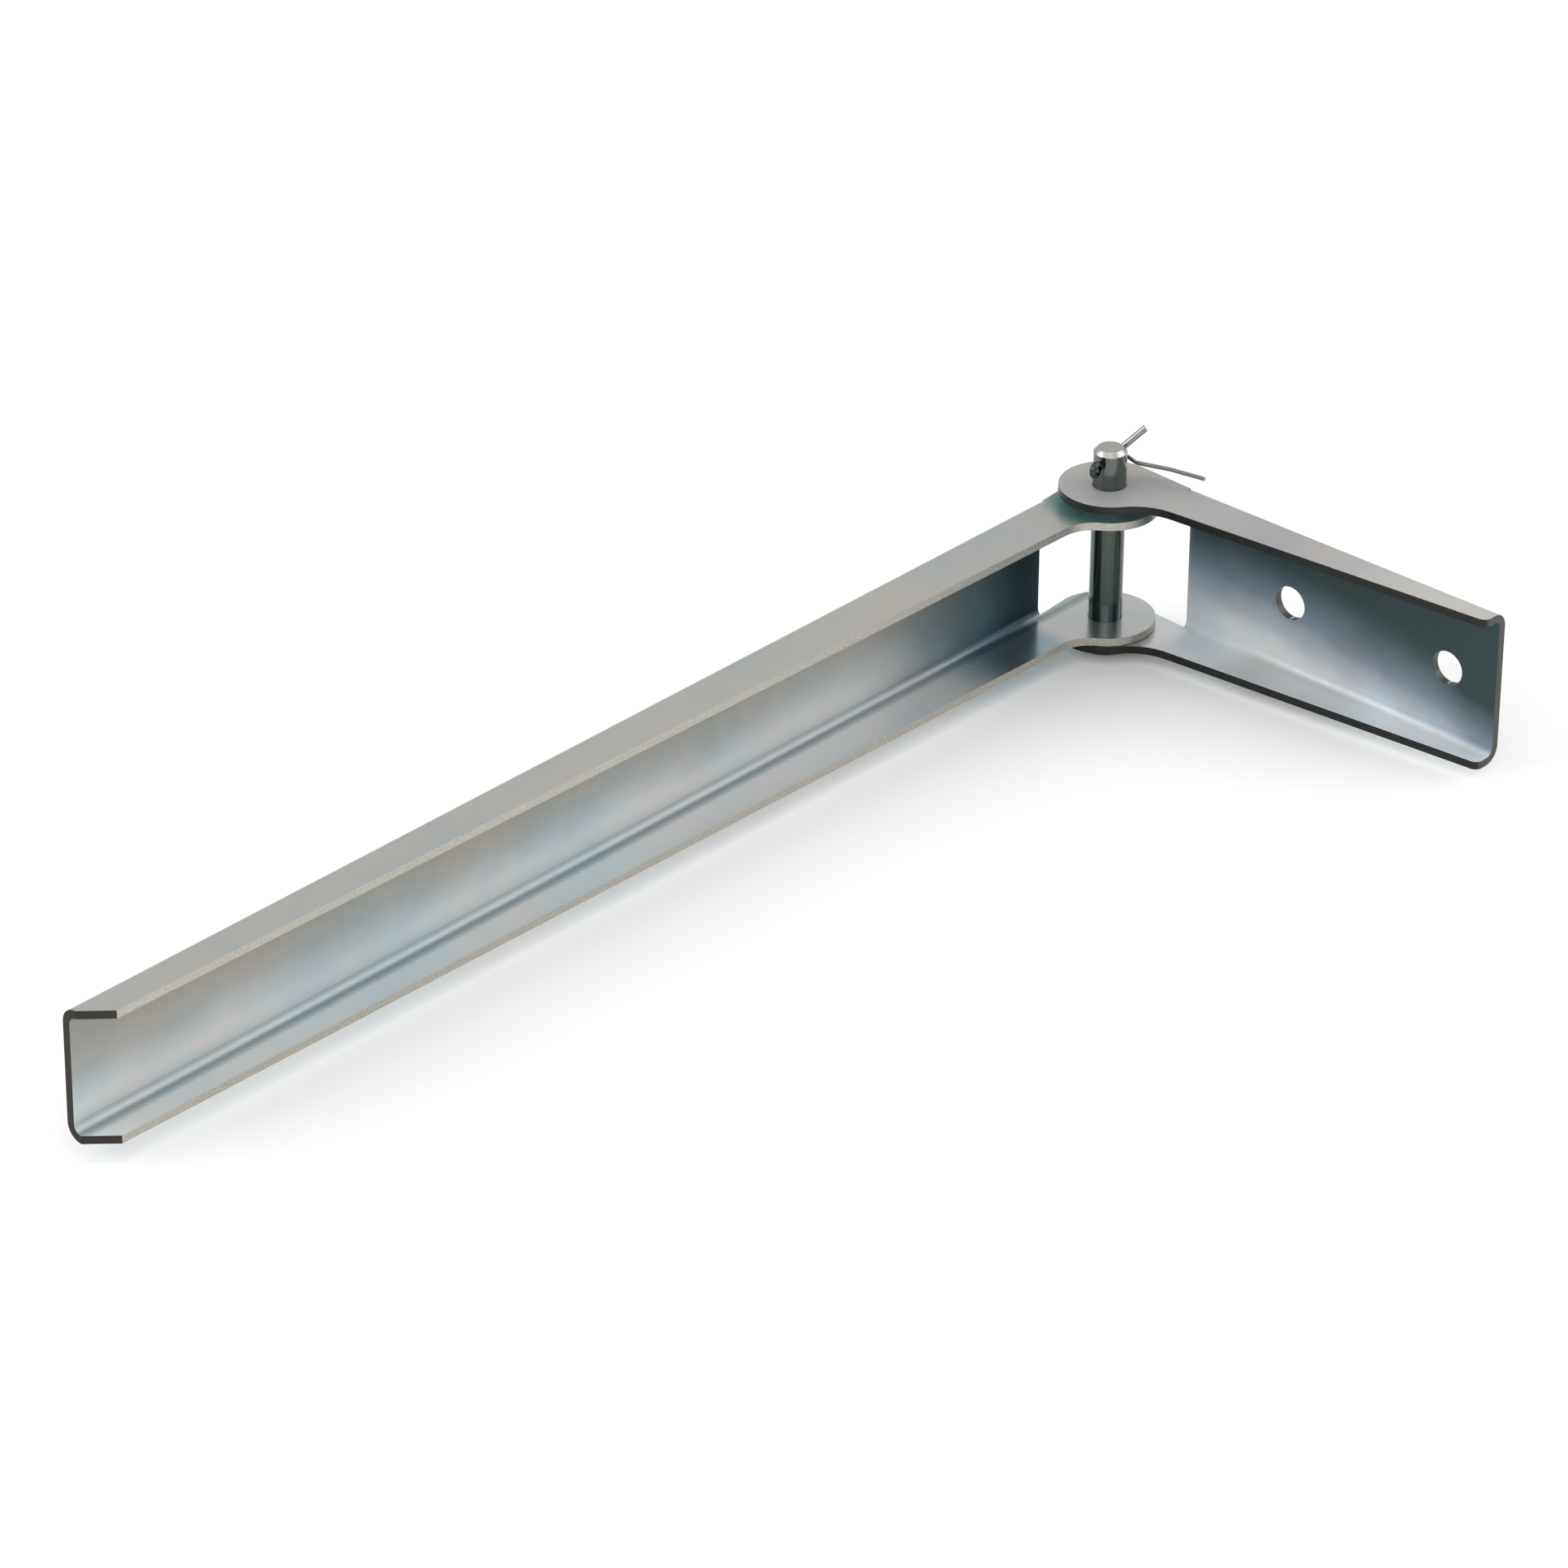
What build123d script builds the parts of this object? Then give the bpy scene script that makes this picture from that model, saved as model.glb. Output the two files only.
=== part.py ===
from build123d import *
from math import atan2, cos, degrees, sin
import os

# Folding table hinge, in millimetres, +Z up.
# The wall arm is a short pressed channel along +X, with its web at the back and two screw holes.
# The leaf arm is a long pressed channel that nests between the wall arm's ears and lies along -Y at rest.
# A clevis pin joins the four ears, and a split pin keeps it in.
# The origin is the middle of the two screw holes, on the back face of the wall arm.

# Sheet that both arms are pressed from
SHEET = 2.0
BEND_INSIDE = 2.0

# Both arms: round ears about the pin, and the pin's distance from the back of each web
EAR_RADIUS = 12.0
EAR_BACK_RELIEF = 2.3
BACK_OFFSET = 13.5

# Wall arm: lengths are measured from the pin's axis
WALL_HEIGHT = 39.0
WALL_REACH = 106.0
WALL_WEB_START = 15.5
WALL_DEPTH_AT_PIN = 16.5
WALL_DEPTH_AT_END = 7.4
WALL_NECK = 14.0
WALL_CORNER = 2.0

# Screw holes through the wall arm's web
SCREW_RADIUS = 4.25
SCREW_SPACING = 46.0
SCREW_TO_END = 14.0

# Leaf arm
LEAF_REACH = 322.0
LEAF_WEB_START = 11.0
LEAF_DEPTH_AT_PIN = 15.8
LEAF_DEPTH_AT_END = 10.0
LEAF_NECK = 9.0

# Clevis pin, its head under the lowest ear
PIN_RADIUS = 4.0
PIN_STAND_OUT = 9.7
PIN_CHAMFER = 1.0
HEAD_RADIUS = 7.0
HEAD_THICKNESS = 3.0
HEAD_EDGE = 0.6

# Washer that fills the room above the leaf arm's upper ear
SPACER_RADIUS = 7.5
SPACER_THICKNESS = 2.0

# Split pin, folded from half-round wire
WIRE_RADIUS = 0.9
EYE_INSIDE = 1.2
EYE_LENGTH = 4.6
CROSS_HOLE_TO_PIN_END = 3.1
SPLIT_PIN_TURN = 100.0
LEG_BEND = 1.4

# Split pin's legs, measured from where they leave the cross hole: out along the hole, aside, and down
LONG_LEG_OUT = 1.6
LONG_LEG_KINK = 2.2
LONG_LEG_KINK_ASIDE = 3.8
LONG_LEG_KINK_DOWN = 2.4
LONG_LEG_MIDDLE = 3.8
LONG_LEG_MIDDLE_ASIDE = 11.8
LONG_LEG_MIDDLE_DOWN = 2.6
LONG_LEG_TIP = 4.9
LONG_LEG_TIP_ASIDE = 20.5
LONG_LEG_TIP_DOWN = 3.2
LEG_SPLAY = 0.5
SHORT_LEG_OUT = 1.3
SHORT_LEG_TIP = 4.4
SHORT_LEG_TIP_ASIDE = 4.5
SHORT_LEG_TIP_UP = 5.6

# Clearances
RUNNING = 0.08
EAR_PLAY = 0.2
HEAD_PLAY = 0.1
CROSS_HOLE_PLAY = 0.1
EYE_GAP = 0.3
WIRE_OVERLAP = 0.05

# Where things come in the part's frame
PIN_X = -(WALL_REACH - SCREW_TO_END - SCREW_SPACING / 2)
PIN_Y = -BACK_OFFSET
WALL_TOP = WALL_HEIGHT / 2
LEAF_HEIGHT = WALL_HEIGHT - 2 * SHEET - SPACER_THICKNESS - 2 * EAR_PLAY
LEAF_BOTTOM = -WALL_TOP + SHEET + EAR_PLAY
LEAF_TOP = LEAF_BOTTOM + LEAF_HEIGHT
PIN_TOP = WALL_TOP + PIN_STAND_OUT
CROSS_HOLE_Z = PIN_TOP - CROSS_HOLE_TO_PIN_END
BEND_OUTSIDE = BEND_INSIDE + SHEET
PIN_HOLE_RADIUS = PIN_RADIUS + RUNNING


def flange_outline(reach, web_start, depth_at_pin, depth_at_end, neck, end_cut):
    """Plan of one flange: the arm runs along +X from the pin, with its web towards +Y."""
    front_at_pin = BACK_OFFSET - depth_at_pin
    front_at_end = BACK_OFFSET - depth_at_end
    body = Polygon(
        (0, front_at_pin),
        (reach, front_at_end),
        (reach, BACK_OFFSET),
        (web_start, BACK_OFFSET),
        (web_start, BACK_OFFSET - EAR_BACK_RELIEF),
        (0, EAR_RADIUS),
        align=None,
    )
    outline = Circle(EAR_RADIUS) + body
    necks = [v for v in outline.vertices() if 0 < v.X < EAR_RADIUS and v.Y < 0]
    outline = fillet(necks, neck)
    tip = outline.vertices().filter_by(lambda v: v.X > reach - SHEET).sort_by(Axis.Y)[0]
    if end_cut:
        return chamfer(tip, end_cut)
    return fillet(tip, WALL_CORNER)


def channel_section(height):
    """Bent section across an arm: web at the back, flanges towards the front."""
    depth = BACK_OFFSET + EAR_RADIUS
    outside = Pos(BACK_OFFSET, 0) * Rectangle(depth, height, align=(Align.MAX, Align.CENTER))
    outside = fillet(outside.vertices().group_by(Axis.X)[-1], BEND_OUTSIDE)
    inside = Pos(BACK_OFFSET - SHEET, 0) * Rectangle(depth, height - 2 * SHEET, align=(Align.MAX, Align.CENTER))
    inside = fillet(inside.vertices().group_by(Axis.X)[-1], BEND_INSIDE)
    return outside - inside


def pressed_arm(height, outline, reach, web_start):
    """Channel with two ears, centred on z = 0, pin axis at the origin."""
    bent = extrude(Plane.YZ.offset(web_start) * channel_section(height), reach - web_start)
    arm = bent & Pos(0, 0, -height / 2) * extrude(outline, height)
    ear_zone = Pos(web_start, 0) * Rectangle(2 * EAR_RADIUS + web_start, 4 * EAR_RADIUS, align=(Align.MAX, Align.CENTER))
    ear = extrude(outline & ear_zone, SHEET)
    arm = arm + Pos(0, 0, -height / 2) * ear + Pos(0, 0, height / 2 - SHEET) * ear
    return arm - Cylinder(PIN_HOLE_RADIUS, height + SHEET)


def short_channel():
    outline = flange_outline(WALL_REACH, WALL_WEB_START, WALL_DEPTH_AT_PIN, WALL_DEPTH_AT_END, WALL_NECK, 0)
    arm = pressed_arm(WALL_HEIGHT, outline, WALL_REACH, WALL_WEB_START)
    last_hole = WALL_REACH - SCREW_TO_END
    for along in (last_hole - SCREW_SPACING, last_hole):
        arm -= Pos(along, BACK_OFFSET, 0) * Rot(90, 0, 0) * Cylinder(SCREW_RADIUS, 4 * SHEET)
    return Pos(PIN_X, PIN_Y, 0) * arm


def long_channel():
    end_cut = LEAF_DEPTH_AT_END - BEND_OUTSIDE
    outline = flange_outline(
        LEAF_REACH, LEAF_WEB_START, LEAF_DEPTH_AT_PIN, LEAF_DEPTH_AT_END, LEAF_NECK, end_cut
    )
    arm = pressed_arm(LEAF_HEIGHT, outline, LEAF_REACH, LEAF_WEB_START)
    middle = (LEAF_BOTTOM + LEAF_TOP) / 2
    return Pos(PIN_X, PIN_Y, middle) * Rot(0, 0, -90) * Rot(180, 0, 0) * arm


def clevis_pin():
    head_top = -WALL_TOP - HEAD_PLAY
    head = Cylinder(HEAD_RADIUS, HEAD_THICKNESS, align=(Align.CENTER, Align.CENTER, Align.MAX))
    head = fillet(head.edges().filter_by(GeomType.CIRCLE), HEAD_EDGE)
    shank = Cylinder(PIN_RADIUS, PIN_TOP - head_top, align=(Align.CENTER, Align.CENTER, Align.MIN))
    shank = chamfer(shank.edges().group_by(Axis.Z)[-1], PIN_CHAMFER)
    pin = Pos(0, 0, head_top) * (head + shank)
    cross_hole = Cylinder(WIRE_RADIUS + CROSS_HOLE_PLAY, 4 * PIN_RADIUS)
    pin -= Pos(0, 0, CROSS_HOLE_Z) * Rot(0, 0, SPLIT_PIN_TURN) * Rot(0, 90, 0) * cross_hole
    return Pos(PIN_X, PIN_Y, 0) * pin


def half_round(start, direction, side):
    """Half-round wire section with its flat side on the split pin's middle plane."""
    overlap = WIRE_OVERLAP if side == Align.MAX else -WIRE_OVERLAP
    box = Rectangle(4 * WIRE_RADIUS, 2 * WIRE_RADIUS, align=(Align.CENTER, side))
    section = Circle(WIRE_RADIUS) & (Pos(0, overlap) * box)
    return Plane(start, x_dir=(0, 1, 0), z_dir=direction) * section


def wire_eye(start_x):
    """Eye of the split pin: two necks that bend apart and the round loop that joins them."""
    loop_x = start_x - EYE_LENGTH + EYE_INSIDE + WIRE_RADIUS
    reach = start_x - loop_x
    neck_radius = (reach ** 2 - EYE_INSIDE ** 2) / (2 * EYE_INSIDE)
    angle = atan2(neck_radius, reach)
    join = (loop_x + EYE_INSIDE * cos(angle), 0, EYE_INSIDE * sin(angle))
    loop_section = half_round(join, (-sin(angle), 0, cos(angle)), Align.MAX)
    loop = revolve(loop_section, Axis((loop_x, 0, 0), (0, -1, 0)), 360 - 2 * degrees(angle))
    neck_section = half_round((start_x, 0, 0), (-1, 0, 0), Align.MAX)
    neck = revolve(neck_section, Axis((start_x, 0, neck_radius), (0, 1, 0)), 90 - degrees(angle))
    return neck + mirror(neck, about=Plane.XY) + loop


def split_pin():
    """Built along +X through the cross hole: eye at -X, legs bent away at +X."""
    exit_x = PIN_RADIUS + EYE_GAP
    shank = Rot(0, 90, 0) * Cylinder(WIRE_RADIUS, 2 * exit_x)
    eye = wire_eye(-exit_x)

    long_leg_route = [
        (exit_x, 0, 0),
        (exit_x + LONG_LEG_OUT, 0, -LEG_SPLAY),
        (exit_x + LONG_LEG_KINK, -LONG_LEG_KINK_ASIDE, -LONG_LEG_KINK_DOWN),
        (exit_x + LONG_LEG_MIDDLE, -LONG_LEG_MIDDLE_ASIDE, -LONG_LEG_MIDDLE_DOWN),
        (exit_x + LONG_LEG_TIP, -LONG_LEG_TIP_ASIDE, -LONG_LEG_TIP_DOWN),
    ]
    short_leg_route = [
        (exit_x, 0, 0),
        (exit_x + SHORT_LEG_OUT, 0, LEG_SPLAY),
        (exit_x + SHORT_LEG_TIP, -SHORT_LEG_TIP_ASIDE, SHORT_LEG_TIP_UP),
    ]
    split = shank + eye
    for route, side in ((long_leg_route, Align.MAX), (short_leg_route, Align.MIN)):
        leg_path = FilletPolyline(*route, radius=LEG_BEND)
        split += sweep(half_round(Vector(*route[0]), leg_path % 0, side), path=leg_path)
    return Pos(PIN_X, PIN_Y, CROSS_HOLE_Z) * Rot(0, 0, SPLIT_PIN_TURN) * split


def spacer_washer():
    ring = Cylinder(SPACER_RADIUS, SPACER_THICKNESS, align=(Align.CENTER, Align.CENTER, Align.MIN))
    ring -= Cylinder(PIN_HOLE_RADIUS, 4 * SPACER_THICKNESS)
    return Pos(PIN_X, PIN_Y, LEAF_TOP) * ring


PARTS = {
    "short_channel": short_channel,
    "long_channel": long_channel,
    "clevis_pin": clevis_pin,
    "split_pin": split_pin,
    "spacer_washer": spacer_washer,
}

os.makedirs("parts", exist_ok=True)
for name, make in PARTS.items():
    shape = make()
    export_step(shape, "parts/" + name + ".step")
    print(name, "volume", round(shape.volume, 1), "solids", len(shape.solids()), "valid", shape.is_valid)
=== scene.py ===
# %% [markdown]
# Folding table hinge. Two pressed steel channels swing about a clevis pin that a split pin keeps in.
# Everything is bright zinc plate over sheet steel, so the lesson is mostly about metal: how it is lit,
# how its cut edges differ from its faces, and how the plating's faint colours are made from nodes.
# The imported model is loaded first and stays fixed. It gives the places and sizes of all that follows.

# %% Load the frame
import math

import bmesh
import bpy
from mathutils import Matrix, Vector


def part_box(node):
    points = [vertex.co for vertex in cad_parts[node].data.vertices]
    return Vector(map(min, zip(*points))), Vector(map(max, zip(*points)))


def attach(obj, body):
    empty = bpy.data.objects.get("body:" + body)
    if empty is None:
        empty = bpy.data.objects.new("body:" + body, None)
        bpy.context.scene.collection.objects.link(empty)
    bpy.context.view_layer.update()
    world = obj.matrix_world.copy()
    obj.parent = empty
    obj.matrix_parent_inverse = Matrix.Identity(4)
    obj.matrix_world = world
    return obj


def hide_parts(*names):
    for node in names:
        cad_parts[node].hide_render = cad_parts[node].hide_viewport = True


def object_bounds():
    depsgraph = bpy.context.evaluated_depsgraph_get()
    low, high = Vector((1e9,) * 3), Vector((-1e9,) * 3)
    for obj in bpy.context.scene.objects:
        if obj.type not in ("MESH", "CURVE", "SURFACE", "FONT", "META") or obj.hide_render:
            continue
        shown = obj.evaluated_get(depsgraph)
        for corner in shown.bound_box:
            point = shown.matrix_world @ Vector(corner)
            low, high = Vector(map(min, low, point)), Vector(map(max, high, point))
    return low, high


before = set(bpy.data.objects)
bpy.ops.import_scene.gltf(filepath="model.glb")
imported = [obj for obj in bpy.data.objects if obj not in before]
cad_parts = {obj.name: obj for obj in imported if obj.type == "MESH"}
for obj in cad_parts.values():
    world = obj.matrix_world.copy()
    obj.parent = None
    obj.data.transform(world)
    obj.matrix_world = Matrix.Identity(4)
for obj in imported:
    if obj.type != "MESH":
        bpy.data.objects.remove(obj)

cad_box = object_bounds()
scene = bpy.context.scene
MM = 0.001

# %% [markdown]
# The camera stands where the photographer stood: about 30 degrees above the hinge, turned 42 degrees
# from the short arm's open side, and 1.7 metres away with a long lens, so that the lines stay almost
# parallel. It is aimed from the clevis pin, because that is the one piece that both arms share.

# %% Where the camera looks from
AZIMUTH = math.radians(41.79)
ELEVATION = math.radians(29.66)
ROLL = math.radians(0.53)
DISTANCE = 1.7283
AIM_RIGHT = -75.57 * MM
AIM_UP = -38.0 * MM
AIM_HEIGHT = -18.5 * MM

pin_low, pin_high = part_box("clevis_pin")
PIN_AXIS = Vector(((pin_low.x + pin_high.x) / 2, (pin_low.y + pin_high.y) / 2, 0))
towards = Vector((
    math.sin(AZIMUTH) * math.cos(ELEVATION),
    -math.cos(AZIMUTH) * math.cos(ELEVATION),
    math.sin(ELEVATION),
))
right = Vector((math.cos(AZIMUTH), math.sin(AZIMUTH), 0))
up = towards.cross(right)
aim = PIN_AXIS + Vector((0, 0, AIM_HEIGHT))
stand = aim + towards * DISTANCE + right * AIM_RIGHT + up * AIM_UP
print("camera at", [round(v, 3) for v in stand])

# %% Camera
PHOTO_PIXELS = 1932
FOCAL_PIXELS = 8990.8
SENSOR_WIDTH = 36.0
FAR_CLIP = 50.0

camera_data = bpy.data.cameras.new("camera")
camera_data.sensor_width = SENSOR_WIDTH
camera_data.lens = FOCAL_PIXELS / PHOTO_PIXELS * SENSOR_WIDTH
camera_data.clip_end = FAR_CLIP
camera = bpy.data.objects.new("camera", camera_data)
scene.collection.objects.link(camera)
tilted_right = right * math.cos(ROLL) + up * math.sin(ROLL)
tilted_up = up * math.cos(ROLL) - right * math.sin(ROLL)
axes = Matrix((tilted_right, tilted_up, towards)).transposed()
camera.matrix_world = Matrix.Translation(stand) @ axes.to_4x4()
scene.camera = camera
print("lens", round(camera_data.lens, 1), "mm")

# %% [markdown]
# One function adds a node with its settings and links, and every finish below is built from it. Shaders
# take linear values while colours are usually read as sRGB hex, so a second function turns one into
# the other. Each material reads the piece's own coordinates, which stay on the metal when an arm swings.

# %% Nodes and materials
def linear(hex_colour):
    """Turns an sRGB hex colour to the linear values that a shader takes."""
    parts = [int(hex_colour[i:i + 2], 16) / 255 for i in (1, 3, 5)]
    return tuple(c / 12.92 if c <= 0.04045 else ((c + 0.055) / 1.055) ** 2.4 for c in parts) + (1.0,)


def add_node(tree, kind, inputs=None, stops=(), **settings):
    """Adds a node. Inputs are values or sockets to link from, and stops are a ramp's places and colours."""
    made = tree.nodes.new(kind)
    for name, value in settings.items():
        setattr(made, name, value)
    for socket, value in (inputs or {}).items():
        if isinstance(value, bpy.types.NodeSocket):
            tree.links.new(value, made.inputs[socket])
        else:
            made.inputs[socket].default_value = value
    for number, (position, colour) in enumerate(stops):
        elements = made.color_ramp.elements
        element = elements[number] if number < len(elements) else elements.new(position)
        element.position = position
        element.color = linear(colour)
    return made


def new_material(name):
    """An empty material, its tree, its Principled shader and the piece's own coordinates."""
    material = bpy.data.materials.new(name)
    material.use_nodes = True
    tree = material.node_tree
    place = add_node(tree, "ShaderNodeTexCoord").outputs["Object"]
    return material, tree, tree.nodes["Principled BSDF"], place


print("mid grey is", round(linear("#808080")[0], 3), "to a shader")

# %% [markdown]
# A film, a stain or a rubbed place covers a zone of a piece. A zone is given by its sides, each a
# coordinate and the two places in millimetres between which it goes from 0 to 1, and the sides are
# multiplied together. The film is then laid on by multiplying the metal's colour, as a real one filters
# the light on its way to the metal and back.

# %% Zones and films
NO_FILM = (0.0, "#FFFFFF")


def zone(tree, *sides):
    """1 inside all of the sides and 0 outside, with soft edges."""
    inside = 1.0
    for value, (start, end) in sides:
        side = add_node(tree, "ShaderNodeMapRange", {
            "Value": value, "From Min": start * MM, "From Max": end * MM,
        }, interpolation_type="SMOOTHSTEP").outputs["Result"]
        inside = add_node(tree, "ShaderNodeMath", {0: inside, 1: side}, operation="MULTIPLY").outputs[0]
    return inside


def add_up(tree, start, *terms):
    """The start plus every term's value times its share."""
    total = start
    for value, share in terms:
        inputs = {0: value, 1: share, 2: total}
        total = add_node(tree, "ShaderNodeMath", inputs, operation="MULTIPLY_ADD").outputs[0]
    return total


# Most of the films laid on below are painted shade and painted reflection.
def lay_film(tree, colour, strength, stops):
    """Lays a film on a colour. The film's own colour goes through the stops as its strength goes to 1."""
    film = add_node(tree, "ShaderNodeValToRGB", {"Fac": strength}, stops).outputs["Color"]
    factor, first, second, result = 0, 6, 7, 2
    laid = add_node(
        tree, "ShaderNodeMix", {factor: 1.0, first: colour, second: film},
        data_type="RGBA", blend_type="MULTIPLY",
    )
    return laid.outputs[result]


print("no film is", NO_FILM[1])

# %% [markdown]
# Metal shows what is around it, so the studio is part of the finish. The room is bright overhead and
# darker at eye level, which draws the dark lines along the inner bends.

# %% Room
OVERHEAD_GREY = 0.7
HORIZON_GREY = 0.45
HORIZON_HEIGHT = 0.02
OVERHEAD_HEIGHT = 0.42
ROOM_TINT = {"Red": 1.0, "Green": 0.99, "Blue": 0.965}

scene.view_settings.view_transform = "Standard"
world = bpy.data.worlds.new("studio")
world.use_nodes = True
sky = world.node_tree
direction = add_node(sky, "ShaderNodeTexCoord").outputs["Generated"]
height = add_node(sky, "ShaderNodeSeparateXYZ", {0: direction}).outputs["Z"]
grey = add_node(sky, "ShaderNodeMapRange", {
    "Value": height, "From Min": HORIZON_HEIGHT, "From Max": OVERHEAD_HEIGHT,
    "To Min": HORIZON_GREY, "To Max": OVERHEAD_GREY,
}, interpolation_type="SMOOTHSTEP").outputs["Result"]
tinted = {channel: add_up(sky, 0.0, (grey, share)) for channel, share in ROOM_TINT.items()}
warm_grey = add_node(sky, "ShaderNodeCombineColor", tinted).outputs["Color"]
sky.links.new(warm_grey, sky.nodes["Background"].inputs["Color"])
scene.world = world
print("room grey", HORIZON_GREY, "at eye level and", OVERHEAD_GREY, "overhead")

# %% [markdown]
# The floor is matt white and lies at the hinge's lowest point, under the head of the pin, so the hinge
# stands on it and keeps its shadow.

# %% Floor
FLOOR_SIZE = 8.0
floor_mesh = bpy.data.meshes.new("floor")
bm = bmesh.new()
bmesh.ops.create_grid(bm, x_segments=1, y_segments=1, size=FLOOR_SIZE / 2)
bmesh.ops.translate(bm, verts=bm.verts, vec=(0, 0, cad_box[0][2]))
bm.to_mesh(floor_mesh)
bm.free()
floor = bpy.data.objects.new("floor", floor_mesh)
scene.collection.objects.link(floor)
floor_paint, tree, shader, place = new_material("matt_white_floor")
shader.inputs["Base Color"].default_value = linear("#FCFCFB")
shader.inputs["Roughness"].default_value = 0.9
shader.inputs["Specular IOR Level"].default_value = 0.1
floor_mesh.materials.append(floor_paint)
print("floor at", round(cad_box[0][2], 4))

# %% [markdown]
# Four large soft lamps light the hinge. Two stand low, where the lower flanges mirror them: one behind
# the short arm and one before the long arm. A third fills in from the open side, and the last hangs
# overhead. The side lamps are a little cool and the overhead one a little warm, because the lower
# flanges look blue in the photograph and the top faces warm.

# %% Lamps
SIDE_COLOUR = (0.93, 0.97, 1.0)
OVERHEAD_COLOUR = (1.0, 0.985, 0.96)
LAMP_SIZE = 1.6
LAMPS = (
    ("behind_short_arm", (1.13, 1.30, 1.05), 13, SIDE_COLOUR),
    ("before_long_arm", (-1.13, -1.30, 1.05), 19, SIDE_COLOUR),
    ("front_fill", (1.1, -1.2, 1.3), 9, SIDE_COLOUR),
    ("overhead", (0, 0, 2.4), 7, OVERHEAD_COLOUR),
)
MIDDLE = PIN_AXIS + Vector((0.02, -0.15, 0))


def soft_lamp(name, offset, watts, colour):
    """A large square lamp at an offset from the hinge's middle, which it looks at."""
    lamp = bpy.data.lights.new(name, "AREA")
    lamp.shape = "SQUARE"
    lamp.size = LAMP_SIZE
    lamp.energy = watts
    lamp.color = colour
    lamp_object = bpy.data.objects.new(name, lamp)
    scene.collection.objects.link(lamp_object)
    turn = (-offset).to_track_quat("-Z", "Y").to_matrix().to_4x4()
    lamp_object.matrix_world = Matrix.Translation(MIDDLE + offset) @ turn
    print(name, watts, "W")


for name, offset, watts, colour in LAMPS:
    soft_lamp(name, Vector(offset), watts, colour)

# %% [markdown]
# Zinc electroplate with a clear blue passivate. The bath leaves a smooth, slightly milky metal whose
# thin film tints it, bluish in some places and rosy in others, so two noises mix three pale metals.

# %% Clouds of colour
CLOUD_SIZE = 30.0
CLOUD_SHARE = 0.7
PATCH_SIZE = 7.0
PATCH_SHARE = 0.3
TINT_PLACES = (0.38, 0.5, 0.62)


def cloudy_metal(tree, place, metals):
    """Mixes three pale metals in clouds with smaller patches in them."""
    clouds = add_node(tree, "ShaderNodeTexNoise", {
        "Vector": place, "Scale": 1 / (CLOUD_SIZE * MM), "Detail": 3.0, "Roughness": 0.55,
    }).outputs["Fac"]
    patches = add_node(tree, "ShaderNodeTexNoise", {
        "Vector": place, "Scale": 1 / (PATCH_SIZE * MM), "Detail": 4.0, "Roughness": 0.6, "Distortion": 0.4,
    }).outputs["Fac"]
    tint = add_up(tree, 0.0, (clouds, CLOUD_SHARE), (patches, PATCH_SHARE))
    return add_node(tree, "ShaderNodeValToRGB", {"Fac": tint}, zip(TINT_PLACES, metals)).outputs["Color"]


print("clouds of", CLOUD_SIZE, "mm with patches of", PATCH_SIZE, "mm")

# %% [markdown]
# The sheet was rolled before it was pressed, which leaves fine lines along each arm. They are drawn in
# roughness alone. The real lines are under 0.05 mm apart, too fine to show, so they are drawn 0.6 mm
# apart and faint. A second, broader noise gives the smears that handling leaves.

# %% Rolling lines and smears
ROLLING_LINE = 0.6
ROLLING_LENGTH = 60.0
LINES_SHARE = 0.15
SMEAR_SIZE = 16.0
SMEARS_SHARE = 0.65
GLOSS_MIDDLE = (LINES_SHARE + SMEARS_SHARE) / 2
GLOSS_REACH = 0.2
GLOSS_SPREAD = 0.05


def rolled_gloss(tree, place, along, roughness):
    """Roughness with smears, and with lines along one axis, 0 for X and 1 for Y and 2 for Z."""
    stretch = [1 / (ROLLING_LINE * MM)] * 3
    stretch[along] = 1 / (ROLLING_LENGTH * MM)
    stretched = add_node(tree, "ShaderNodeMapping", {"Vector": place, "Scale": stretch}).outputs["Vector"]
    lines = add_node(tree, "ShaderNodeTexNoise", {
        "Vector": stretched, "Scale": 1.0, "Detail": 2.0, "Roughness": 0.6,
    }).outputs["Fac"]
    smears = add_node(tree, "ShaderNodeTexNoise", {
        "Vector": place, "Scale": 1 / (SMEAR_SIZE * MM), "Detail": 5.0, "Roughness": 0.65, "Distortion": 0.8,
    }).outputs["Fac"]
    return add_node(tree, "ShaderNodeMapRange", {
        "Value": add_up(tree, 0.0, (smears, SMEARS_SHARE), (lines, LINES_SHARE)),
        "From Min": GLOSS_MIDDLE - GLOSS_REACH, "From Max": GLOSS_MIDDLE + GLOSS_REACH,
        "To Min": roughness - GLOSS_SPREAD, "To Max": roughness + GLOSS_SPREAD,
    }).outputs["Result"]


print("rolling lines", ROLLING_LINE, "mm apart")

# %% [markdown]
# The arms, the pin, the split pin and the washer are all grey metal with lines from rolling, turning or
# drawing, so one function makes them from their own colours, roughness and films. The arms' plating is
# partly metallic, because its milky layer scatters some light before it meets the zinc, and it is less
# so where it is milkiest.

# %% Metal with lines
PLATE_METAL = 0.62
HAZY_METAL = 0.38


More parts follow.
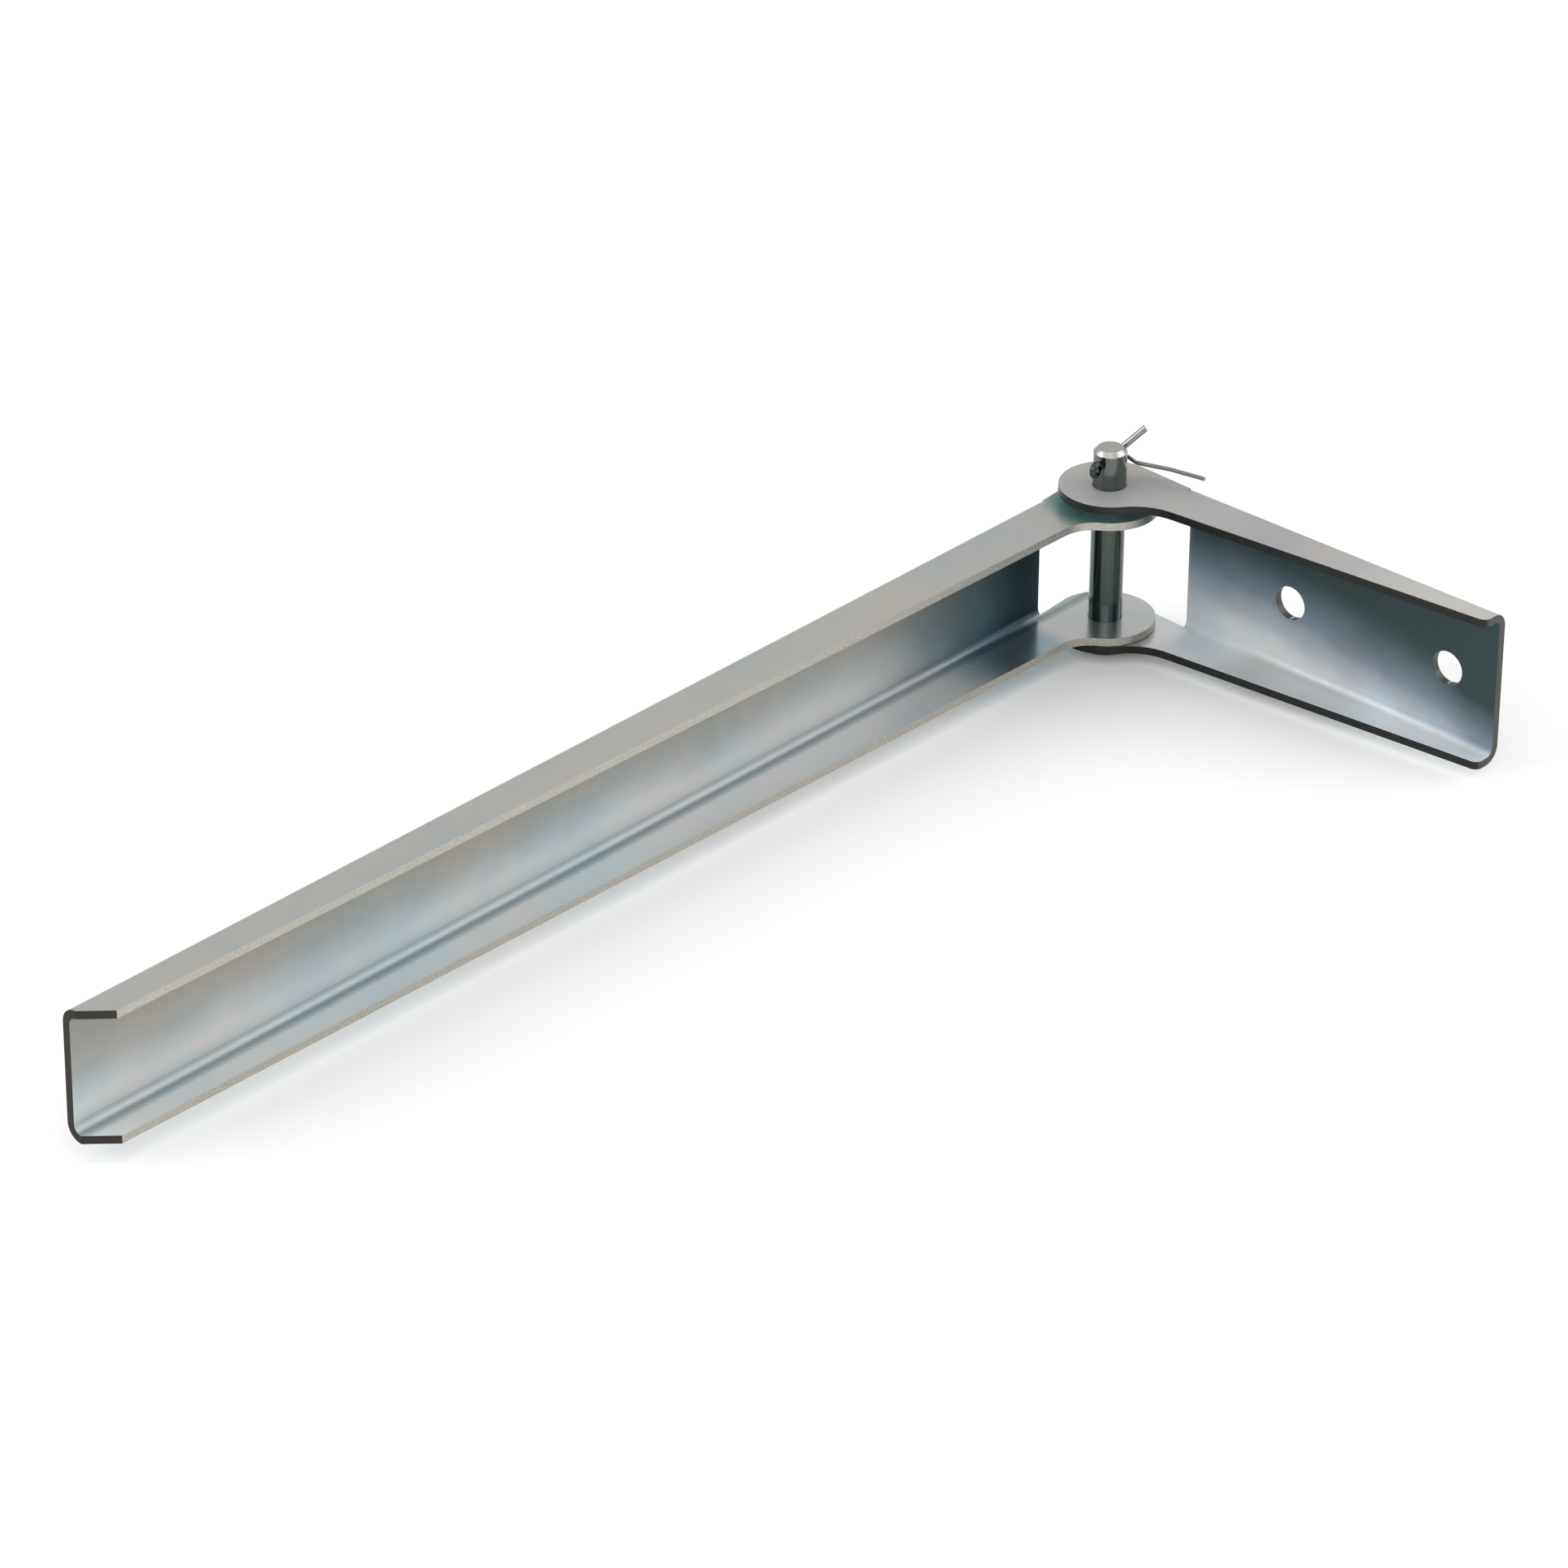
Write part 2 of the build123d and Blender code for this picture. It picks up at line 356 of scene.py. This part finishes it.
def lined_metal(name, along, metals, roughness, metal=1.0, film=None, dull=None, haze=None):
    """Pale metal in three tints. The last three say where it has films and painted shade, is dull, or is
    milky.
    """
    material, tree, shader, place = new_material(name)
    colour = cloudy_metal(tree, place, metals)
    if film:
        colour = film(tree, place, colour)
    gloss = rolled_gloss(tree, place, along, roughness)
    if dull:
        gloss = add_up(tree, gloss, (dull(tree, place), 1.0))
    tree.links.new(colour, shader.inputs["Base Color"])
    tree.links.new(gloss, shader.inputs["Roughness"])
    shader.inputs["Metallic"].default_value = metal
    if haze:
        metallic = add_up(tree, metal, (haze(tree, place), HAZY_METAL - metal))
        tree.links.new(metallic, shader.inputs["Metallic"])
    return material


print("plating counts as", PLATE_METAL, "metal, and milky plating as", HAZY_METAL)

# %% [markdown]
# Each arm's inside gets painted shade and painted reflection, laid on as films that are placed by its
# own coordinates. A slow noise shifts the films' edges, so that they aren't ruled. All places are
# millimetres along the imported model's axes, and those that belong to a face of a channel are counted
# from it, inwards.

# %% Faces of the channels
FILM_WOBBLE = 7.0

short_low, short_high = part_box("short_channel")
long_low, long_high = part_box("long_channel")
SHORT_BACK = short_high.y / MM
SHORT_TOP = short_high.z / MM
SHORT_LOW = short_low.z / MM
LONG_BACK = long_low.x / MM
LONG_TOP = long_high.z / MM
LONG_LOW = long_low.z / MM


def wobbled(tree, place, value, size):
    """Shifts a coordinate a little, by noise of a size in millimetres."""
    waves = add_node(tree, "ShaderNodeTexNoise", {
        "Vector": place, "Scale": 1 / (size * MM), "Detail": 3.0, "Roughness": 0.55,
    }).outputs["Fac"]
    return add_up(tree, value, (waves, FILM_WOBBLE * MM), (0.5, -FILM_WOBBLE * MM))


print("short channel", round(SHORT_TOP - SHORT_LOW, 1), "mm high, long", round(LONG_TOP - LONG_LOW, 1))

# %% [markdown]
# The short arm's web is painted nearly black with a touch of teal under its upper flange, clearing to a
# pale blue towards the lower one: painted shade and painted reflection. It is darker towards the free
# end, so the height at which it darkens leans along X. Its top is painted a plain grey, cool at the hinge
# and warm at the free end, as painted reflection, and its lower flange has one faint painted reflection
# of the long arm's dark web.

# %% Places on the short arm
SHORT_INSIDE_X = (-56.0, -52.0)
SHORT_INSIDE_Y = (SHORT_BACK - 0.6, SHORT_BACK - 1.8)
SHORT_INSIDE_Z = (SHORT_TOP - 0.6, SHORT_TOP - 1.8)
SHORT_ABOVE_FLANGE_Z = (SHORT_LOW + 1.9, SHORT_LOW + 3.1)
SHORT_DARKENS_Z = (-21.5, 8.0)
SHORT_LEAN = 0.17
SHORT_WAVE = 18.0
SHORT_WEB_Y = (SHORT_BACK - 5.2, SHORT_BACK - 3.2)
SHORT_END_X = (16.0, 36.0)
SHORT_END_SHARE = 0.2
SHORT_TOP_SKIN_Z = (SHORT_TOP - 1.4, SHORT_TOP - 0.4)
SHORT_TO_HINGE_X = (30.0, -30.0)
SHORT_BACK_SKIN_Y = (SHORT_BACK - 1.4, SHORT_BACK - 0.4)
# A faint darker patch on the lower flange, a painted reflection of the long arm's dark web.
PAINTED_REFLECTION_FROM_X = (-40.0, -28.0)
PAINTED_REFLECTION_TO_X = (12.0, -10.0)
PAINTED_REFLECTION_Z = (SHORT_LOW + 3.4, SHORT_LOW + 2.3)
SHORT_METALS = ("#E3E8EA", "#ECEBE8", "#F1E9E5")
SHORT_WEB_PAINTED_SHADE = (
    (0.0, "#F4F8FC"), (0.2, "#C2CDD9"), (0.5, "#8A98A7"), (0.8, "#5D717B"), (1.0, "#35474A"),
)


def short_painted_shade(tree, place, colour):
    """Painted shade and reflection, dark under the upper flange and clear towards the lower one, with the
    outer faces' painted reflections and greys.
    """
    x, y, z = add_node(tree, "ShaderNodeSeparateXYZ", {0: place}).outputs
    level = wobbled(tree, place, add_up(tree, z, (x, SHORT_LEAN)), SHORT_WAVE)
    at_end = zone(tree, (x, SHORT_END_X), (y, SHORT_WEB_Y))
    shade_depth = add_up(tree, zone(tree, (level, SHORT_DARKENS_Z)), (at_end, SHORT_END_SHARE))
    inside = zone(
        tree, (x, SHORT_INSIDE_X), (y, SHORT_INSIDE_Y), (z, SHORT_INSIDE_Z), (z, SHORT_ABOVE_FLANGE_Z),
    )
    # The web's film is painted shade and painted reflection, darkest under the upper flange.
    colour = lay_film(tree, colour, add_up(tree, 0.0, (shade_depth, inside)), SHORT_WEB_PAINTED_SHADE)
    # The top's warm and cool greys are painted reflection; the back's grey is plain.
    for strength, hex_colour in (
        (zone(tree, (z, SHORT_TOP_SKIN_Z)), "#E8E2DC"),
        (zone(tree, (z, SHORT_TOP_SKIN_Z), (x, SHORT_TO_HINGE_X)), "#DDDFE3"),
        (zone(tree, (y, SHORT_BACK_SKIN_Y)), "#C0C4C6"),
        (zone(tree, (x, PAINTED_REFLECTION_FROM_X), (x, PAINTED_REFLECTION_TO_X), (z, PAINTED_REFLECTION_Z)), "#E0E2E2"),
    ):
        colour = lay_film(tree, colour, strength, (NO_FILM, (1.0, hex_colour)))
    return colour


# The film printed here is painted shade.
print("the short arm's film darkens from", SHORT_DARKENS_Z[0], "to", SHORT_DARKENS_Z[1], "mm of height")

# %% [markdown]
# The lower flange and the foot of the web are milky. Hands have dulled the arm towards the hinge, and
# the press rubbed the bend dull. By the hinge the lower flange is out of a hand's reach, so its metal
# has no haze and shines.

# %% Short arm's plate
SHORT_MILKY_Z = (SHORT_LOW + 14.0, SHORT_LOW + 3.0)
SHORT_CLEAR_X = (-47.0, -56.0)
SHORT_CLEAR_Z = (SHORT_LOW + 3.2, SHORT_LOW + 2.3)
SHORT_BEND_Y = (SHORT_BACK - 4.6, SHORT_BACK - 3.6)
SHORT_BEND_Z = (SHORT_LOW + 4.6, SHORT_LOW + 3.6)
SHORT_HANDLED_X = (-15.0, -45.0)
HANDLED_DULL = 0.25
BEND_DULL = 0.15
CLEAR_SHINE = 0.13


def haze_but_clear(tree, low, clear):
    """1 where the plating is milky, -1 where it is clear and 0 where it is plain."""
    minus_clear = add_up(tree, 0.0, (clear, -1.0))
    return add_up(tree, low, (low, minus_clear), (clear, -1.0))


def short_haze(tree, place):
    """Milkiest on the lower flange and the foot of the web, but clear by the hinge."""
    x, _, z = add_node(tree, "ShaderNodeSeparateXYZ", {0: place}).outputs
    clear = zone(tree, (x, SHORT_CLEAR_X), (z, SHORT_CLEAR_Z))
    return haze_but_clear(tree, zone(tree, (z, SHORT_MILKY_Z)), clear)


def short_dull(tree, place):
    """Dull towards the hinge and in the bend, but not on the lower flange by the hinge."""
    x, y, z = add_node(tree, "ShaderNodeSeparateXYZ", {0: place}).outputs
    return add_up(
        tree, 0.0,
        (zone(tree, (x, SHORT_HANDLED_X)), HANDLED_DULL),
        (zone(tree, (y, SHORT_BEND_Y), (z, SHORT_BEND_Z)), BEND_DULL),
        (zone(tree, (x, SHORT_CLEAR_X), (z, SHORT_CLEAR_Z)), -HANDLED_DULL - CLEAR_SHINE),
    )


short_plate = lined_metal(
    "zinc_plate_short_arm", 0, SHORT_METALS, 0.4,
    metal=PLATE_METAL, film=short_painted_shade, dull=short_dull, haze=short_haze,
)
print(short_plate.name, "nodes", len(short_plate.node_tree.nodes))

# %% [markdown]
# The long arm's web is painted warm grey above, blue-white below and dark blue at the hinge, all painted
# reflection. A painted shade line runs along its lower bend. Round the upper ear its top is painted teal,
# as painted shade and reflection from the short arm's ear above it.

# %% Places on the long arm
LONG_INSIDE_X = (LONG_BACK + 0.6, LONG_BACK + 1.8)
LONG_INSIDE_Z = (LONG_TOP - 0.4, LONG_TOP - 1.6)
LONG_WARMS_Z = (-11.0, 9.0)
LONG_WARM_WAVE = 25.0
LONG_DARKENS_Y = (-95.0, -28.0)
LONG_DARK_WAVE = 20.0
LONG_ABOVE_FLANGE_Z = (LONG_LOW + 2.2, LONG_LOW + 4.0)
# A painted shade line along the lower bend, with fainter painted shade over the whole bend.
BEND_SHADE_FROM_X = (LONG_BACK + 2.6, LONG_BACK + 3.4)
BEND_SHADE_TO_X = (LONG_BACK + 6.0, LONG_BACK + 4.6)
BEND_SHADE_Z = (LONG_LOW + 3.4, LONG_LOW + 2.5)
LONG_BEND_X = (LONG_BACK + 4.6, LONG_BACK + 3.6)
LONG_BEND_Z = (LONG_LOW + 4.6, LONG_LOW + 3.6)
LONG_CLEAR_Y = (-68.0, -45.0)
LONG_CLEAR_Z = (LONG_LOW + 4.2, LONG_LOW + 2.4)
# By the hinge the lower flange is painted blue, a painted reflection of the dark web above it.
LONG_BLUE_Y = (-27.0, -33.0)
# The top's warm grey is painted reflection.
LONG_TOP_SKIN_Z = (LONG_TOP - 1.4, LONG_TOP - 0.4)
LONG_BACK_SKIN_X = (LONG_BACK + 1.4, LONG_BACK + 0.4)
# The teal ring round the upper ear is painted shade and painted reflection from the short arm's ear above
# it.
EAR_SHADE_RING = (17.0, 12.0)
LONG_METALS = ("#D0D5D6", "#D9D8D4", "#DFD6D1")
LONG_WARM_REFLECTION = ((0.0, "#EEF4F8"), (0.15, "#D6E0E7"), (0.5, "#BDC3C5"), (1.0, "#B4B0A7"))
LONG_DARK_REFLECTION = (
    NO_FILM, (0.27, "#CBD5D8"), (0.58, "#A4B6BD"), (0.84, "#7C95A0"), (1.0, "#3E5C69"),
)
print("the long arm darkens towards the hinge from", LONG_DARKENS_Y[0], "to", LONG_DARKENS_Y[1], "mm")

# %% Long arm's painted reflection
def long_web_painted_reflection(tree, place, colour):
    """Painted reflection: warm above, blue below and dark blue towards the hinge, on the inside alone."""
    x, y, z = add_node(tree, "ShaderNodeSeparateXYZ", {0: place}).outputs
    height = wobbled(tree, place, z, LONG_WARM_WAVE)
    length = wobbled(tree, place, y, LONG_DARK_WAVE)
    inside = (x, LONG_INSIDE_X), (z, LONG_INSIDE_Z)
    warmth = zone(tree, (height, LONG_WARMS_Z), *inside)
    shade_depth = zone(tree, (length, LONG_DARKENS_Y), (z, LONG_ABOVE_FLANGE_Z), *inside)
    # The warm, blue and dark blue layers are painted reflection.
    colour = lay_film(tree, colour, warmth, LONG_WARM_REFLECTION)
    return lay_film(tree, colour, shade_depth, LONG_DARK_REFLECTION)


def long_painted_reflections(tree, place, colour):
    """The web's painted reflection, a painted shade line in the lower bend, the painted shade ring round the
    ear, painted reflections on the lower flange and the top, and the back's grey.
    """
    x, y, z = add_node(tree, "ShaderNodeSeparateXYZ", {0: place}).outputs
    ear_top = (PIN_AXIS.x, PIN_AXIS.y, LONG_TOP * MM)
    from_ear = add_node(tree, "ShaderNodeVectorMath", {0: place, 1: ear_top}, operation="DISTANCE")
    colour = long_web_painted_reflection(tree, place, colour)
    for strength, hex_colour in (
        (zone(tree, (x, BEND_SHADE_FROM_X), (x, BEND_SHADE_TO_X), (z, BEND_SHADE_Z)), "#D2D9DD"),
        (zone(tree, (x, LONG_BEND_X), (z, LONG_BEND_Z)), "#E2E7EA"),
        (zone(tree, (from_ear.outputs["Value"], EAR_SHADE_RING)), "#8CC4C4"),
        (zone(tree, (x, LONG_BACK_SKIN_X)), "#D4D7D9"),
        (zone(tree, (y, LONG_CLEAR_Y), (z, LONG_CLEAR_Z), (y, LONG_BLUE_Y)), "#CBDFEB"),
        (zone(tree, (z, LONG_TOP_SKIN_Z)), "#E2DED9"),
    ):
        colour = lay_film(tree, colour, strength, (NO_FILM, (1.0, hex_colour)))
    return colour


# The ring printed here is painted shade and reflection.
print("oil ring of", EAR_SHADE_RING[1], "to", EAR_SHADE_RING[0], "mm round the pin")

# %% [markdown]
# As on the short arm, the lower flange is milky and the bend is dull, and by the hinge the lower flange
# is clear, shining metal, in which the dark web above it is mirrored.

# %% Long arm's plate
LONG_MILKY_Z = (LONG_LOW + 4.0, LONG_LOW + 2.4)


def long_haze(tree, place):
    """Milkiest on the lower flange, but clear by the hinge."""
    _, y, z = add_node(tree, "ShaderNodeSeparateXYZ", {0: place}).outputs
    clear = zone(tree, (y, LONG_CLEAR_Y), (z, LONG_CLEAR_Z))
    return haze_but_clear(tree, zone(tree, (z, LONG_MILKY_Z)), clear)


def long_dull(tree, place):
    """Dull in the bend, and shiniest on the lower flange by the hinge."""
    x, y, z = add_node(tree, "ShaderNodeSeparateXYZ", {0: place}).outputs
    return add_up(
        tree, 0.0,
        (zone(tree, (x, LONG_BEND_X), (z, LONG_BEND_Z)), BEND_DULL),
        (zone(tree, (y, LONG_CLEAR_Y), (z, LONG_CLEAR_Z)), -CLEAR_SHINE),
    )


long_plate = lined_metal(
    "zinc_plate_long_arm", 1, LONG_METALS, 0.34,
    metal=PLATE_METAL, film=long_painted_reflections, dull=long_dull, haze=long_haze,
)
print(long_plate.name, "nodes", len(long_plate.node_tree.nodes))

# %% [markdown]
# A sheared edge is torn as much as cut: a smooth burnished band, then a rough fracture that takes the
# plating badly. The edges that face the open side, the short arm's front and the long arm's free end, are
# painted nearly black, while the long arm's own front edges are almost as pale as its faces. That
# darkening by direction is painted reflection. So each cut face is given a number for how far it faces
# the open side, as an attribute of the mesh, and the edge's colour follows that number. The tears are too
# fine to show, so they are drawn half a millimetre wide.

# %% Sheared edges
TEAR_SIZE = 0.5
TEAR_DEPTH = 0.05 * MM
DARK_FACING = (0.25, 0.75)
LONG_END = (long_low.y / MM + 30.0, long_low.y / MM + 20.0)


def sheared_edge(name, pale, dark, end=None):
    """Cut steel under thin zinc, with painted reflection darkening it where it faces -Y, or only where it
    does so at one end.
    """
    material, tree, shader, place = new_material(name)
    tears = add_node(tree, "ShaderNodeTexNoise", {
        "Vector": place, "Scale": 1 / (TEAR_SIZE * MM), "Detail": 3.0, "Roughness": 0.6,
    }).outputs["Fac"]
    facing = add_node(tree, "ShaderNodeAttribute", attribute_name="facing").outputs["Fac"]
    turned = add_node(tree, "ShaderNodeMapRange", {
        "Value": facing, "From Min": DARK_FACING[0], "From Max": DARK_FACING[1],
    }, interpolation_type="SMOOTHSTEP").outputs["Result"]
    if end:
        y = add_node(tree, "ShaderNodeSeparateXYZ", {0: place}).outputs["Y"]
        turned = add_up(tree, 0.0, (turned, zone(tree, (y, end))))
    steel = add_node(tree, "ShaderNodeValToRGB", {"Fac": turned}, ((0.0, pale), (1.0, dark)))
    colour = lay_film(tree, steel.outputs["Color"], tears, ((0.3, "#DCDCDC"), (0.7, "#FFFFFF")))
    bump = add_node(tree, "ShaderNodeBump", {"Height": tears, "Strength": 0.25, "Distance": TEAR_DEPTH})
    tree.links.new(colour, shader.inputs["Base Color"])
    tree.links.new(bump.outputs["Normal"], shader.inputs["Normal"])
    shader.inputs["Metallic"].default_value = 1.0
    shader.inputs["Roughness"].default_value = 0.42
    return material


# The dark grey that the edges take by direction is painted reflection.
short_edge = sheared_edge("sheared_edge_short_arm", "#5A5A58", "#3A3B3B")
long_edge = sheared_edge("sheared_edge_long_arm", "#C4C0B8", "#3E3A38", LONG_END)
print("sheared edges", short_edge.name, long_edge.name)

# %% [markdown]
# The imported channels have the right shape, but their edges are perfectly sharp and their bends are flat
# facets. A pressed part has neither, so each node gets a dressed copy: its loose triangles are merged,
# and a small bevel with weighted normals rounds every edge and smooths the bends. The copy then stands
# for the node.

# %% Merged copy
MERGE = 0.002 * MM
FLAT_ANGLE = math.radians(0.5)


def merged_copy(node, name):
    """The node's mesh with its triangles joined and its flat faces made whole."""
    bm = bmesh.new()
    bm.from_mesh(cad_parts[node].data)
    bmesh.ops.remove_doubles(bm, verts=bm.verts, dist=MERGE)
    bmesh.ops.dissolve_limit(bm, angle_limit=FLAT_ANGLE, verts=bm.verts, edges=bm.edges)
    for face in bm.faces:
        face.smooth = True
    mesh = bpy.data.meshes.new(name)
    bm.to_mesh(mesh)
    bm.free()
    piece = bpy.data.objects.new(name, mesh)
    scene.collection.objects.link(piece)
    return piece


print("corners within", MERGE / MM, "mm are merged")

# %% Rounded edges
EDGE_ROUND = 0.22 * MM
EDGE_ANGLE = math.radians(35)


def round_edges(piece, width):
    """Rounds sharp edges and keeps flat faces flat in shade."""
    bevel = piece.modifiers.new("rounded_edges", "BEVEL")
    bevel.width = width
    bevel.segments = 2
    bevel.limit_method = "ANGLE"
    bevel.angle_limit = EDGE_ANGLE
    bevel.material = -1
    shade = piece.modifiers.new("even_shade", "WEIGHTED_NORMAL")
    shade.keep_sharp = False
    shade.weight = 100


print("edges rounded by", EDGE_ROUND / MM, "mm")

# %% Dressed piece
def dress(node, name, body, materials, width):
    """Makes the copy, gives it its finish and lets it stand for the node."""
    piece = merged_copy(node, name)
    for material in materials:
        piece.data.materials.append(material)
    round_edges(piece, width)
    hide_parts(node)
    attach(piece, body)
    print(name, "faces", len(piece.data.polygons))
    return piece


print("pieces to dress", len(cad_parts))

# %% [markdown]
# The faces that the shears and the punch cut are found by their size and direction: the ends of the
# channels, the long edges and the ears' outlines and holes, which are one sheet high, and the walls of
# the screw holes, which go through the web. They get the edge's material. The cut runs round the ears in
# a curve, so the number for how far a face looks to the open side is evened out where cut faces meet.

# %% Cut faces
SHEET = 2.0 * MM
EDGE_HEIGHT = 1.1 * SHEET
HOLE_FACET = 4.2 * MM
THROUGH_SHEET = 0.9 * SHEET
NEARLY_ZERO = 0.05
NEARLY_UP = 0.999
END_ON = 0.5
ONE_CURVE = 0.8


def mark_cut_faces(piece, along):
    """Gives the faces that were cut the second material. The arm's length is along one axis."""
    across = 1 - along
    cut = 0
    for face in piece.data.polygons:
        corners = [piece.data.vertices[v].co for v in face.vertices]
        tall = max(c.z for c in corners) - min(c.z for c in corners)
        deep = max(c[across] for c in corners) - min(c[across] for c in corners)
        upright = abs(face.normal.z) < NEARLY_ZERO
        end = upright and abs(face.normal[along]) > END_ON
        edge = upright and tall < EDGE_HEIGHT
        through_web = abs(face.normal[across]) < NEARLY_ZERO and abs(face.normal.z) < NEARLY_UP
        hole_wall = through_web and deep > THROUGH_SHEET and tall < HOLE_FACET
        if end or edge or hole_wall:
            face.material_index = 1
            cut += 1
    print(piece.name, "cut faces", cut)


def write_facing(piece):
    """Writes how far each cut face looks to -Y, evened out where cut faces meet in a curve."""
    mesh = piece.data
    touching = {}
    for face in mesh.polygons:
        if face.material_index == 1:
            for vertex in face.vertices:
                touching.setdefault(vertex, []).append(face.normal)
    facing = mesh.attributes.new("facing", "FLOAT", "CORNER")
    for face in mesh.polygons:
        for corner in face.loop_indices:
            met = touching.get(mesh.loops[corner].vertex_index, [])
            alike = [normal for normal in met if normal.dot(face.normal) > ONE_CURVE]
            facing.data[corner].value = -sum(normal.y for normal in alike) / max(len(alike), 1)


print("cut edges are", SHEET / MM, "mm high")

# %% [markdown]
# The short arm is screwed to the wall or the frame, and the long one swings and carries the table leaf.
# Both are dressed in the same way. The length of the short one lies along X and of the long one along Y.

# %% Short arm
short_finish = (short_plate, short_edge)
short_arm = dress("short_channel", "short_arm", "wall_arm", short_finish, EDGE_ROUND)
mark_cut_faces(short_arm, 0)
write_facing(short_arm)

# %% Long arm
long_finish = (long_plate, long_edge)
long_arm = dress("long_channel", "long_arm", "leaf_arm", long_finish, EDGE_ROUND)
mark_cut_faces(long_arm, 1)
write_facing(long_arm)

# %% [markdown]
# The pin was turned from drawn bar, and its shank keeps the bar's own surface, so its faint lines run
# along it. The shank is far darker than the arms in the photograph, near black with a green cast, while
# the end is bright: oiled steel whose end was rubbed clean when it was chamfered, so that it is also
# less glossy than the shank.

# %% Clevis pin
PIN_TOP = pin_high.z / MM
OILED_BELOW = (PIN_TOP - 0.8, PIN_TOP - 1.3)
BELOW_TOP_EAR = (SHORT_TOP, SHORT_TOP - 1.0)
RUBBED_DULL = 0.16


def oil_and_painted_shade(tree, place, colour):
    """Clear on the end, grey above the top ear, and below it greener and a little darker, the darkening
    being painted shade under the ear.
    """
    z = add_node(tree, "ShaderNodeSeparateXYZ", {0: place}).outputs["Z"]
    colour = lay_film(tree, colour, zone(tree, (z, OILED_BELOW)), (NO_FILM, (1.0, "#8E9490")))
    # Below the top ear the darker layer is painted shade.
    return lay_film(tree, colour, zone(tree, (z, BELOW_TOP_EAR)), (NO_FILM, (1.0, "#D2E0DE")))


def cleaned_end(tree, place):
    """Dull on the end alone."""
    z = add_node(tree, "ShaderNodeSeparateXYZ", {0: place}).outputs["Z"]
    return add_up(tree, 0.0, (zone(tree, (z, OILED_BELOW[::-1])), RUBBED_DULL))


oiled_steel = lined_metal(
    "oiled_drawn_steel", 2, ("#A9B3B8", "#B6BABA", "#BDBBB5"), 0.14, film=oil_and_painted_shade, dull=cleaned_end,
)
dress("clevis_pin", "turned_pin", "hinge_pin", (oiled_steel,), EDGE_ROUND)

# %% [markdown]
# The split pin is drawn zinc-plated wire, folded, with a soft shine. Its eye is painted darker, as
# painted shade. Its edges are rounded much less than the others, because the wire itself is thin.

# %% Split pin
IN_EYE = (PIN_AXIS.y / MM - 2.0, PIN_AXIS.y / MM - 4.0)
WIRE_ROUND = 0.06 * MM


def eye_painted_shade(tree, place, colour):
    """Painted shade in the eye."""
    y = add_node(tree, "ShaderNodeSeparateXYZ", {0: place}).outputs["Y"]
    return lay_film(tree, colour, zone(tree, (y, IN_EYE)), (NO_FILM, (1.0, "#7C8281")))


drawn_wire = lined_metal("drawn_zinc_wire", 1, ("#8E9395", "#989A99", "#A09D98"), 0.24, film=eye_painted_shade)
dress("split_pin", "split_pin_wire", "hinge_pin", (drawn_wire,), WIRE_ROUND)

# %% [markdown]
# The washer between the upper ears was plated in a barrel, which tumbles small pieces dull. Hardly any
# of it shows, so it has no film of its own.

# %% Spacer washer
washer_zinc = lined_metal("barrel_plated_washer", 0, ("#A9B1B6", "#B4B7B7", "#BBB8B2"), 0.36)
dress("spacer_washer", "spacer", "leaf_arm", (washer_zinc,), EDGE_ROUND)

# %% [markdown]
# The pieces were tied to their bodies as they were dressed.

# %% Finish
print("done")
